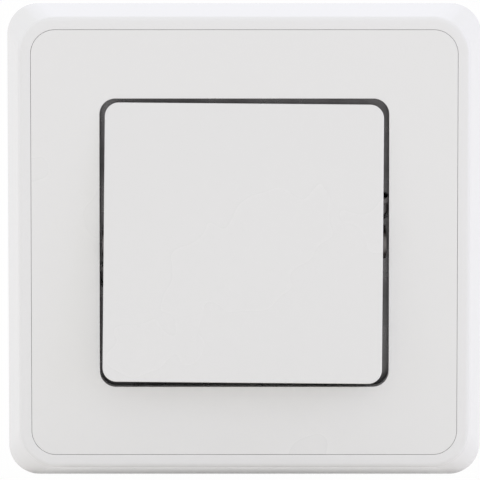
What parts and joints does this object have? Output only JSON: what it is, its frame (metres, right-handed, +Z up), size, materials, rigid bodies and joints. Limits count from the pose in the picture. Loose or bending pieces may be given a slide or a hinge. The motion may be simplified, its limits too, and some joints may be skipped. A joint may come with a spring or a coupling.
{
  "type": "pushbutton switch",
  "caption": "Flush wall pushbutton: large square rocker key in a square plate and surround frame, with a round-box mechanism, screw terminals and spreading claws behind.",
  "frame": {"origin": "centre of the box screw slots, on the yoke's rear face, in the plane of the wall", "axes": "+X to the right seen from the front, +Y into the wall (the front faces -Y), +Z up"},
  "size_m": [0.0818, 0.0335, 0.0818],
  "materials": {
    "frame_plastic": "smooth glossy white",
    "plate_plastic": "smooth white, slightly satin",
    "key_plastic": "smooth white, slightly satin",
    "carrier_plastic": "moulded, light",
    "cover_plastic": "moulded, light grey",
    "body_plastic": "moulded, light grey",
    "plunger_plastic": "moulded, red brown",
    "yoke_steel": "zinc plated sheet",
    "claw_steel": "zinc plated sheet",
    "screw_steel": "zinc plated",
    "spring_steel": "drawn wire",
    "contact_brass": "stamped strip",
    "cage_brass": "folded and plated",
    "contact_silver": "silver alloy"
  },
  "bodies": {
    "base": {"surround_frame": "frame_plastic", "centre_plate": "plate_plastic", "support_yoke": "yoke_steel", "mechanism_cover": "cover_plastic", "mechanism_body": "body_plastic", "cover_screws": "screw_steel", "resting_strip": "contact_brass", "resting_tip": "contact_silver", "working_strip": "contact_brass", "working_tip": "contact_silver", "common_strip": "contact_brass", "return_spring": "spring_steel", "terminal_screws": "screw_steel", "terminal_cage_1": "cage_brass", "terminal_cage_2": "cage_brass", "terminal_cage_3": "cage_brass"},
    "key": {"key": "key_plastic", "rocker_carrier": "carrier_plastic"},
    "plunger": {"plunger": "plunger_plastic"},
    "lever": {"contact_lever": "contact_brass", "moving_tip": "contact_silver"},
    "claw_screw_right": {"claw_screw_right": "screw_steel"},
    "claw_nut_right": {"claw_nut_right": "screw_steel"},
    "spreader_claw_right": {"spreader_claw_right": "claw_steel"},
    "claw_screw_left": {"claw_screw_left": "screw_steel"},
    "claw_nut_left": {"claw_nut_left": "screw_steel"},
    "spreader_claw_left": {"spreader_claw_left": "claw_steel"}
  },
  "joints": [
    {"name": "key_tilt", "type": "hinge", "parent": "base", "child": "key", "pos_m": [0, -0.0055, -0.00025], "axis": [1, 0, 0], "range_deg": [0, 6.5], "stiffness_Nm_per_rad": 0.2, "springref_deg": -8.59},
    {"name": "plunger_slide", "type": "slide", "parent": "base", "child": "plunger", "axis": [0, 1, 0], "range_m": [0, 0.00105]},
    {"name": "lever_swing", "type": "hinge", "parent": "base", "child": "lever", "pos_m": [0, 0.00495, 0.001], "axis": [1, 0, 0], "range_deg": [0, 5.8], "deforming": ["return_spring"]},
    {"name": "claw_screw_right_turn", "type": "hinge", "parent": "base", "child": "claw_screw_right", "pos_m": [0.0232, 0, 0.006], "axis": [0, 1, 0], "range_deg": [0, 3964]},
    {"name": "claw_nut_right_slide", "type": "slide", "parent": "base", "child": "claw_nut_right", "axis": [0, -1, 0], "range_m": [0, 0.0055]},
    {"name": "spreader_claw_right_slide", "type": "slide", "parent": "base", "child": "spreader_claw_right", "axis": [0.7071, -0.7071, 0], "range_m": [0, 0.00785]},
    {"name": "claw_screw_left_turn", "type": "hinge", "parent": "base", "child": "claw_screw_left", "pos_m": [-0.0232, 0, -0.006], "axis": [0, 1, 0], "range_deg": [0, 3964]},
    {"name": "claw_nut_left_slide", "type": "slide", "parent": "base", "child": "claw_nut_left", "axis": [0, -1, 0], "range_m": [0, 0.0055]},
    {"name": "spreader_claw_left_slide", "type": "slide", "parent": "base", "child": "spreader_claw_left", "axis": [-0.7071, -0.7071, 0], "range_m": [0, 0.00785]}
  ],
  "couplings": [
    {"joint": "plunger_slide", "follows": "key_tilt", "m_per_rad": 0.009},
    {"joint": "lever_swing", "follows": "key_tilt", "ratio": 0.882},
    {"joint": "claw_screw_right_turn", "follows": "claw_nut_right_slide", "rad_per_m": 12566},
    {"joint": "spreader_claw_right_slide", "follows": "claw_nut_right_slide", "ratio": 1.4142},
    {"joint": "claw_screw_left_turn", "follows": "claw_nut_left_slide", "rad_per_m": 12566},
    {"joint": "spreader_claw_left_slide", "follows": "claw_nut_left_slide", "ratio": 1.4142}
  ]
}
